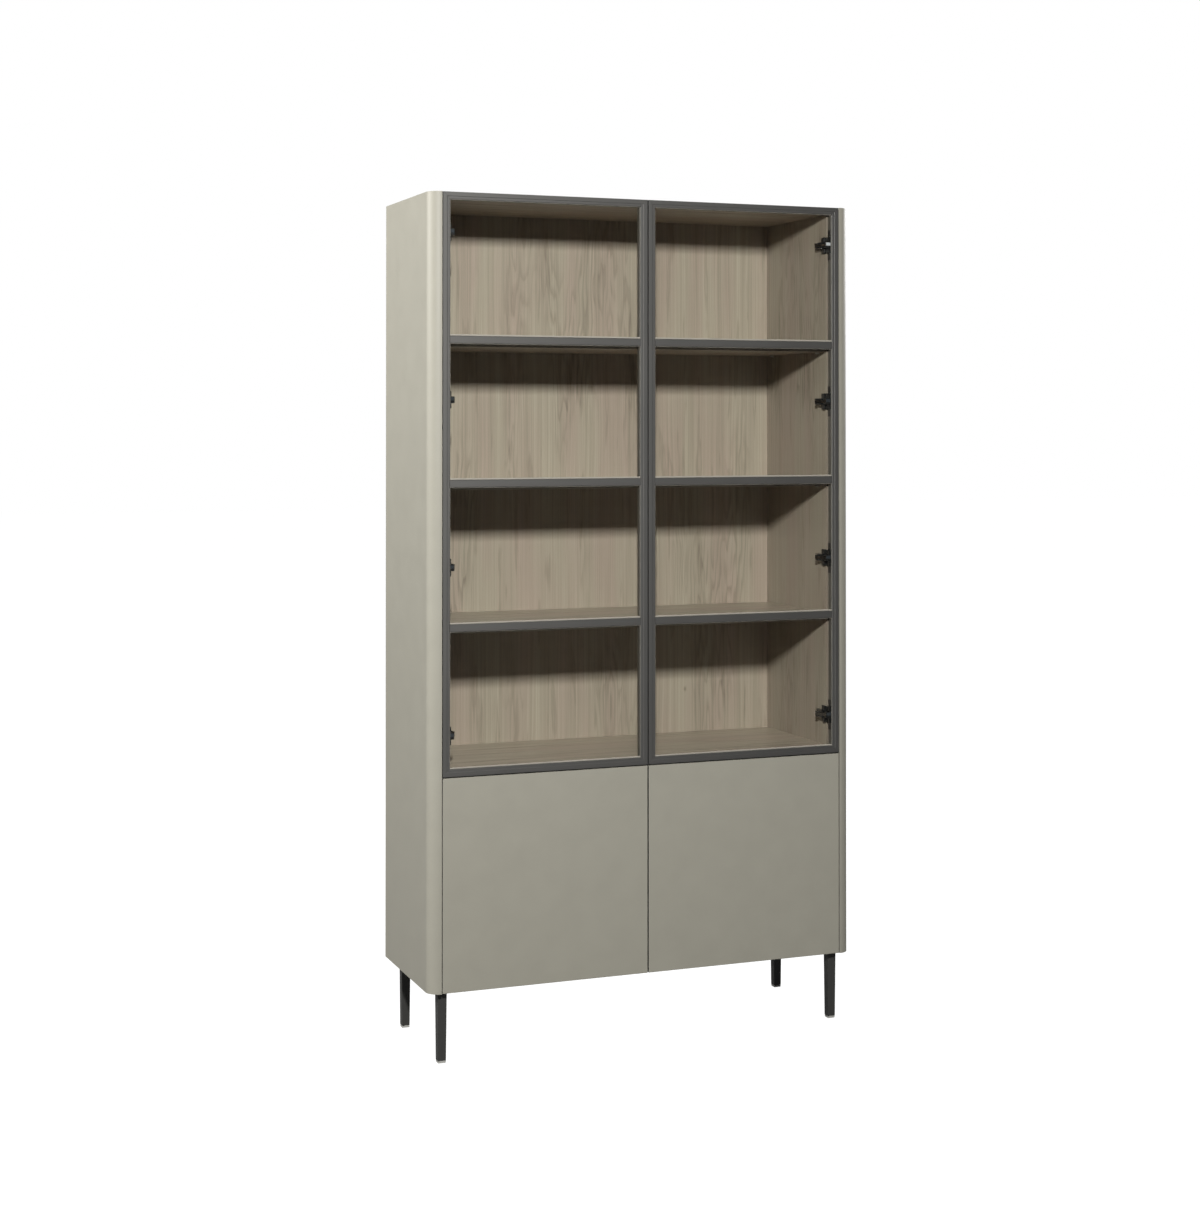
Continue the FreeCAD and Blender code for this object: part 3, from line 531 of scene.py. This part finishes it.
graphite_upright = metal_finish("graphite_upright", GRAPHITE, drawn=Z, **GRAPHITE_SHEEN)
graphite_level = metal_finish("graphite_level", GRAPHITE, drawn=X, **GRAPHITE_SHEEN)
clear_glass = glass_finish("clear_float_glass")
soft_bead = plastic_finish("soft_glazing_bead", BEAD_GREY, roughness=0.35)
greige_clip = plastic_finish("greige_clip_bead", CLIP_GREIGE, roughness=0.45)
sill_highlight_cream = plastic_finish("sill_strip_painted_highlight", SILL_HIGHLIGHT_CREAM, roughness=0.45)
black_seal_and_gap_shade = plastic_finish("black_seal_and_painted_gap_shade", SEAL_AND_GAP_SHADE_BLACK, roughness=0.80)

for word, side in SIDES.items():
    door = f"glass_door_{word}"
    for member in ("hinge_stile", "free_stile"):
        eased_copy(f"{door}_{member}", FRAME_ARRIS, graphite_upright)
    for member in ("rails", "glazing_bars"):
        eased_copy(f"{door}_{member}", FRAME_ARRIS, graphite_level)
    nodes[f"{door}_glass"].material_slots[0].material = clear_glass

    left, right = (face_x(f"{door}_glazing_bars", way) for way in (-1, 1))
    rails_low, rails_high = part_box(f"{door}_rails")
    pane_low, pane_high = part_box(f"{door}_glass")
    sills = [rails_low[Z] + BAR_HEIGHT] + [bar + BAR_HEIGHT for bar in BAR_BOTTOMS]
    heads = list(BAR_BOTTOMS) + [rails_high[Z] - BAR_HEIGHT]
    for number, (sill, head) in enumerate(zip(sills, heads), 1):
        bead = glazing_bead(f"{door}_bead_{number}", (left, sill), (right, head),
                            pane_low[Y], BEAD_WIDTH, -BEAD_HEIGHT)
        fit(bead, soft_bead, door)

    clip = glazing_bead(f"{door}_clip_bead", (left, sills[0]), (right, heads[-1]),
                        pane_high[Y], CLIP_WIDTH, CLIP_DEPTH)
    hinge_edge = right if side > 0 else left
    near, far = sorted((hinge_edge - side * (CLIP_WIDTH + NOTCH_MARGIN),
                        hinge_edge + side * NOTCH_MARGIN))
    front, rear = pane_high[Y] - NOTCH_MARGIN, pane_high[Y] + CLIP_DEPTH + NOTCH_MARGIN
    notch(clip, [block_between("notch", (near, front, height - NOTCH_REACH),
                               (far, rear, height + NOTCH_REACH))
                 for height in HINGE_HEIGHTS["glass_door"]])
    fit(clip, greige_clip, door)

    # Pale sill strips: setting strips, and a painted highlight along the foot of each light.
    for number, sill in enumerate(sills, 1):
        bottom = sill + BEAD_WIDTH
        strip = block_between(f"{door}_sill_strip_{number}",
                              (left + BEAD_WIDTH, pane_low[Y] - BEAD_HEIGHT, bottom),
                              (right - BEAD_WIDTH, pane_low[Y], bottom + SILL_HEIGHT))
        ease_edges(strip, BEAD_HEIGHT / 3)
        fit(strip, sill_highlight_cream, door)

    stile_low, stile_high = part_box(f"{door}_free_stile")
    meeting = face_x(f"{door}_free_stile", -side)
    near, far = sorted((meeting, meeting - side * SEAL_THICKNESS))
    seal = block_between(f"{door}_meeting_seal",
                         (near, stile_low[Y] + SEAL_SETBACK, stile_low[Z] + SEAL_SETBACK),
                         (far, stile_high[Y] - SEAL_SETBACK, stile_high[Z] - SEAL_SETBACK))
    ease_edges(seal, SEAL_THICKNESS / 4)
    fit(seal, black_seal_and_gap_shade, door)


# ---- Solid doors
# Lacquered boards without handles, in the same stone grey as the sides, hung on two hinges each.
# Thin black strips on their upright edges are painted shade, so that the gaps beside them stay dark.

DOOR_ARRIS = 0.0012
GAP_SHADE_THICKNESS = 0.0005
GAP_SHADE_SETBACK = 0.0014

for word in SIDES:
    door = f"lower_door_{word}"
    eased_copy(f"{door}_panel", DOOR_ARRIS, stone_lacquer, steps=3)
    low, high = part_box(f"{door}_panel")
    # Painted shade: a black strip on each upright edge keeps the gap beside the door dark.
    for place, way in (("west", -1), ("east", 1)):
        edge = face_x(f"{door}_panel", way)
        near, far = sorted((edge, edge + way * GAP_SHADE_THICKNESS))
        strip = block_between(f"{door}_edge_shade_strip_{place}",
                              (near, low[Y] + GAP_SHADE_SETBACK, low[Z] + GAP_SHADE_SETBACK),
                              (far, high[Y] - GAP_SHADE_SETBACK, high[Z] - GAP_SHADE_SETBACK))
        ease_edges(strip, GAP_SHADE_THICKNESS / 4)
        fit(strip, black_seal_and_gap_shade, door)


# ---- Concealed hinges
# Pressed and cast steel in black nickel, with links of bright nickel on pins. The cup is screwed to
# the door and the arm to a plate on the lining. Raised blocks on plate and cup hold the screws,
# and a small tab on each glazed door's cups sets its damper. The right door's top tab is pale, a
# painted highlight where the top hinge catches the light.

HINGE_BLACK = (0.016, 0.0155, 0.015)
NICKEL = (0.30, 0.305, 0.315)
DARK_NICKEL = (0.036, 0.040, 0.046)
HIGHLIGHT_NICKEL = (0.50, 0.51, 0.53)
STEEL_ARRIS = 0.0003
PLATE_FACE = 0.4850
PLATE_FRONT = -0.1625
BLOCK_RISE = 0.0045
BLOCK_DEPTH = 0.0074
BLOCK_SPAN = (0.0084, 0.0200)    # a block's near and far end, from the hinge's middle
BLOCK_ROUNDING = 0.0020
TAB_RISE = 0.0007
TAB_INSET = 0.0005
TAB_WIDTH = 0.0125
TAB_SPAN = (-0.0015, 0.0060)
CHEEK_SETBACK = 0.0080


def joined(pieces, name, finish, body):
    """Makes one eased piece of several loose blocks and puts it on its body."""
    bpy.ops.object.select_all(action="DESELECT")
    for piece in pieces:
        piece.select_set(True)
    whole = pieces[0]
    bpy.context.view_layer.objects.active = whole
    if len(pieces) > 1:
        bpy.ops.object.join()
    whole.name = name
    whole.data.name = name
    ease_edges(whole, STEEL_ARRIS)
    fit(whole, finish, body)


def block_ends(height, up):
    """The bottom and top of the block above (1) or below (-1) a hinge's middle."""
    return sorted(height + up * reach for reach in BLOCK_SPAN)


black_nickel = metal_finish("black_nickel", HINGE_BLACK, roughness=0.36, metallic=0.4, drawn=Z)
bright_nickel = metal_finish("bright_nickel", NICKEL, roughness=0.20, metallic=1.0, drawn=Z)
dark_nickel = metal_finish("dark_nickel", DARK_NICKEL, roughness=0.30, metallic=0.2, drawn=X)
nickel_painted_highlight = metal_finish("nickel_painted_highlight", HIGHLIGHT_NICKEL, roughness=0.30, metallic=0.15, drawn=X)

for node in nodes:
    if node.endswith(("_rockers", "_cranks")):
        eased_copy(node, STEEL_ARRIS, bright_nickel)
    elif node.endswith("hinge_cups") or node in ("hinge_plates", "hinge_arms"):
        eased_copy(node, STEEL_ARRIS, black_nickel)

plate_blocks = []
for heights in HINGE_HEIGHTS.values():
    for side in SIDES.values():
        face = side * (PLATE_FACE - BLOCK_RISE)
        near, far = sorted((face, side * PLATE_FACE))
        for height in heights:
            for up in (-1, 1):
                bottom, top = block_ends(height, up)
                block = block_between("plate_block", (near, PLATE_FRONT, bottom),
                                      (far, PLATE_FRONT + BLOCK_DEPTH, top))
                pick_edges(block, x=face, z=height + up * BLOCK_SPAN[1])
                round_picked(BLOCK_ROUNDING, steps=4)
                plate_blocks.append(block)
joined(plate_blocks, "hinge_plate_blocks", black_nickel, "carcass")

for word, side in SIDES.items():
    door = f"glass_door_{word}"
    cup_low, cup_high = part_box(f"{door}_hinge_cups")
    inner = face_x(f"{door}_hinge_cups", -side)
    near, far = sorted((inner + side * TAB_INSET, inner + side * TAB_WIDTH))
    tabs = [block_between("cup_tab", (near, cup_low[Y] - TAB_RISE, height + TAB_SPAN[0]),
                          (far, cup_low[Y], height + TAB_SPAN[1]))
            for height in HINGE_HEIGHTS["glass_door"]]
    joined(tabs[:-1], f"{door}_cup_tabs", dark_nickel, door)
    # The right door's top tab is pale nickel, a painted highlight; the left door's is dark.
    joined(tabs[-1:], f"{door}_damper_tab", nickel_painted_highlight if word == "right" else dark_nickel, door)

    near, far = sorted((inner + side * CHEEK_SETBACK, face_x(f"{door}_glazing_bars", side)))
    cheeks = []
    for height in HINGE_HEIGHTS["glass_door"]:
        for up in (-1, 1):
            bottom, top = block_ends(height, up)
            cheeks.append(block_between("cheek", (near, cup_low[Y], bottom), (far, cup_high[Y], top)))
    joined(cheeks, f"{door}_cup_cheeks", black_nickel, door)


# ---- Screws, pins and dowels
# Zinc plated leg screws and shelf pins, and the connectors that tie the two carcasses together.
# The hinge screws are plated black with the hinges, and wooden dowels hold the board joints.

ZINC = (0.56, 0.56, 0.55)


def recoat(node, finish):
    """Gives a solid that stays as it is a better finish."""
    nodes[node].material_slots[0].material = finish


bright_zinc = metal_finish("bright_zinc", ZINC, roughness=0.30, metallic=1.0, drawn=Z)
for node in ("leg_screws", "shelf_pins", "carcass_connectors"):
    recoat(node, bright_zinc)
recoat("hinge_screws", black_nickel)
recoat("carcass_dowels", oak_level)


# ---- Push latches
# Grey plastic sleeves, pressed into bores in the two top boards behind the doors' free edges, with
# a sprung plunger in each. The glides under the legs are moulded in the same plastic.

PLASTIC_GREY = (0.42, 0.42, 0.40)

grey_plastic = plastic_finish("grey_plastic", PLASTIC_GREY, roughness=0.42)
for node in nodes:
    if "latch" in node or node == "leg_glides":
        recoat(node, grey_plastic)


# ---- Legs
# Square steel tubes with a slight taper, powder coated black, one at each corner. Each is welded
# to a plate that is let into the underside of the cabinet and screwed to it.

POWDER_BLACK = (0.031, 0.031, 0.030)
LEG_ARRIS = 0.0008


def powder_finish(name, colour):
    """Fine-textured powder coat."""
    finish, shader, place = new_finish(name)
    grain = place.noise(900.0, detail=2.0)
    cloud = place.noise(30.0, detail=3.0)
    lay_coat(place, shader, colour=grain.tint(colour, shaded(colour, 1.25)),
             roughness=0.42 + cloud * 0.14, height=grain, strength=0.22, distance=0.0003)
    return finish


black_powder = powder_finish("black_powder_coat", POWDER_BLACK)
for node in nodes:
    if node.startswith("leg_") and "glides" not in node and "screws" not in node:
        eased_copy(node, LEG_ARRIS, black_powder, steps=3)


# ---- Studio
# A white floor that keeps the object's shadow, one small key light high in front, soft fills on
# the left, on the right and behind, a weak even surround and the camera.

FLOOR_SIZE = 60.0
FLOOR_DROP = 0.0005
FLOOR_GREY = (0.14, 0.14, 0.14)
GLOW_REACH = 6.0       # distance from the object at which the floor is fully white
AMBIENT = 0.022
MIRROR_LEVEL = 0.04
KEY_WHITE = (1.0, 0.985, 0.95)
FILL_WHITE = (1.0, 0.985, 0.955)
CAMERA_PLACE = (-1.88811, -4.72879, 1.46464)
CAMERA_YAW = 21.241
CAMERA_PITCH = 0.600
FRAME_HEIGHT = 1227
FOCAL_LENGTH = 2068.66
HORIZON_ROW = 402.99
SENSOR = 36.0


def background_rays(tree):
    """How much of the white surround a ray sees: all by eye or through glass, some in a mirror."""
    path = tree.nodes.new("ShaderNodeLightPath")
    camera, mirror, through = (Wire(tree, path.outputs[f"Is {kind} Ray"])
                               for kind in ("Camera", "Glossy", "Transmission"))
    return camera.math("MAXIMUM", camera, camera.math("MAXIMUM", mirror * MIRROR_LEVEL, through))


bpy.ops.object.select_all(action="DESELECT")
bpy.ops.mesh.primitive_plane_add(size=FLOOR_SIZE, location=(0, 0, -FLOOR_DROP))
floor = bpy.context.object
floor.name = "floor"
white = bpy.data.materials.new("white_floor")
white.use_nodes = True
tree = white.node_tree
tree.nodes.clear()
seen = background_rays(tree)
place = Wire(tree, tree.nodes.new("ShaderNodeTexCoord").outputs["Object"])
distance = place.node("VectorMath", {"operation": "LENGTH"}, {0: place}, output=1)
glow = (distance * (1 / GLOW_REACH)).ramp((0.0, 0.95), (0.35, 0.97), (1.0, 1.0))
shine = seen.node("Emission", {}, {"Color": WHITE, "Strength": seen * glow})
matt = seen.node("BsdfDiffuse", {}, {"Color": FLOOR_GREY})
both = seen.node("AddShader", {}, {0: shine, 1: matt})
end = tree.nodes.new("ShaderNodeOutputMaterial")
tree.links.new(both.socket, end.inputs["Surface"])
floor.data.materials.append(white)

world = bpy.context.scene.world or bpy.data.worlds.new("studio")
bpy.context.scene.world = world
world.use_nodes = True
tree = world.node_tree
tree.nodes.clear()
seen = background_rays(tree)
level = seen.math("MAXIMUM", seen, AMBIENT)
surround = seen.node("Background", {}, {"Color": WHITE, "Strength": level})
end = tree.nodes.new("ShaderNodeOutputWorld")
tree.links.new(surround.socket, end.inputs["Surface"])


def soft_light(name, place, aim, size, power, colour=WHITE, width=None):
    """A flat lamp that points at a spot, square unless a width is given."""
    bpy.ops.object.select_all(action="DESELECT")
    bpy.ops.object.light_add(type="AREA", location=place)
    lamp = bpy.context.object
    lamp.name = name
    lamp.data.shape = "RECTANGLE"
    lamp.data.size = width or size
    lamp.data.size_y = size
    lamp.data.energy = power
    lamp.data.color = colour
    lamp.rotation_euler = (Vector(aim) - Vector(place)).to_track_quat("-Z", "Y").to_euler()


soft_light("key", place=(-1.447, -3.66, 2.585), aim=(0.2, 0.0, 0.5),
           size=0.30, power=204.0, colour=KEY_WHITE, width=0.08)
soft_light("left_fill", place=(-2.95, 0.55, 2.75), aim=(-0.54, 0.0, 1.25),
           size=1.5, power=123.0, colour=FILL_WHITE)
soft_light("right_fill", place=(3.4, 1.2, 2.8), aim=(0.54, 0.1, 1.1), size=1.8, power=125.0)
soft_light("back_fill", place=(0.2, 3.9, 3.4), aim=(0.0, 0.19, 1.1), size=1.8, power=150.0)

bpy.ops.object.camera_add(location=CAMERA_PLACE)
camera = bpy.context.object
camera.name = "camera"
camera.rotation_euler = (math.radians(90 + CAMERA_PITCH), 0, -math.radians(CAMERA_YAW))
camera.data.sensor_width = SENSOR
camera.data.lens = SENSOR * FOCAL_LENGTH / FRAME_HEIGHT
camera.data.shift_y = (HORIZON_ROW - FRAME_HEIGHT / 2) / FRAME_HEIGHT
camera.data.clip_end = 100.0
bpy.context.scene.camera = camera
bpy.context.scene.view_settings.view_transform = "Standard"
